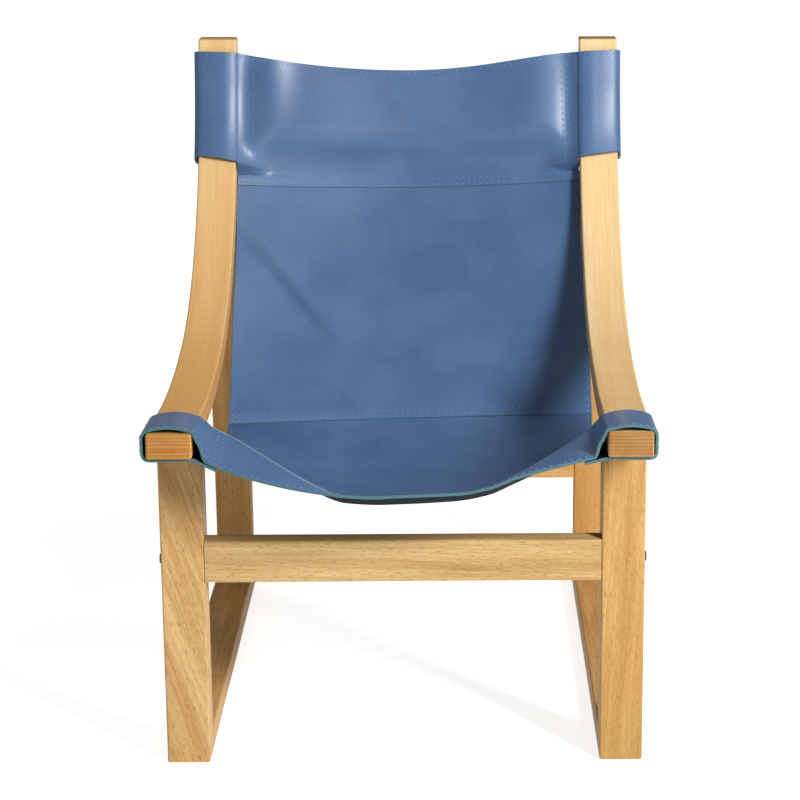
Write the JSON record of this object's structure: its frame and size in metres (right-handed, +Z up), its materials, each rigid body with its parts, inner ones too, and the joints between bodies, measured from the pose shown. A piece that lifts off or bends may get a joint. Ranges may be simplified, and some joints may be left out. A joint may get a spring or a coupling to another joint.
{
  "type": "leather sling lounge chair",
  "caption": "Low lounge chair with a bent laminated wood frame and a leather sling seat held by sleeves round its rails and posts.",
  "frame": {"origin": "on the floor, at the middle of the chair's width and depth", "axes": "+Z up, the seat opens towards -Y, +X is the side on the right of someone who faces the chair"},
  "size_m": [0.6112, 0.8, 0.847],
  "materials": {
    "frame_wood": "oiled warm light wood, bent laminations",
    "crossbar_wood": "oiled warm light wood",
    "tenon_wood": "bare beech, hidden in the joints",
    "sling_leather": "thick dyed saddle leather with a soft sheen",
    "bolt_steel": "blackened steel",
    "nut_steel": "plain zinc-grey steel, hidden in the crossbars"
  },
  "bodies": {
    "root": {"left_bent_rail": "frame_wood", "left_front_leg": "frame_wood", "left_floor_runner": "frame_wood", "left_rear_leg": "frame_wood", "left_tenon_leg_to_rail": "tenon_wood", "left_tenon_leg_to_runner": "tenon_wood", "left_tenon_runner_to_rear_leg": "tenon_wood", "left_tenon_rear_leg_to_rail": "tenon_wood", "left_front_bolt": "bolt_steel", "left_front_barrel_nut": "nut_steel", "left_front_dowel": "tenon_wood", "left_rear_bolt": "bolt_steel", "left_rear_barrel_nut": "nut_steel", "left_rear_dowel": "tenon_wood", "right_bent_rail": "frame_wood", "right_front_leg": "frame_wood", "right_floor_runner": "frame_wood", "right_rear_leg": "frame_wood", "right_tenon_leg_to_rail": "tenon_wood", "right_tenon_leg_to_runner": "tenon_wood", "right_tenon_runner_to_rear_leg": "tenon_wood", "right_tenon_rear_leg_to_rail": "tenon_wood", "right_front_bolt": "bolt_steel", "right_front_barrel_nut": "nut_steel", "right_front_dowel": "tenon_wood", "right_rear_bolt": "bolt_steel", "right_rear_barrel_nut": "nut_steel", "right_rear_dowel": "tenon_wood", "front_crossbar": "crossbar_wood", "rear_crossbar": "crossbar_wood", "seat_panel": "sling_leather", "back_panel": "sling_leather", "head_panel": "sling_leather"}
  },
  "joints": []
}
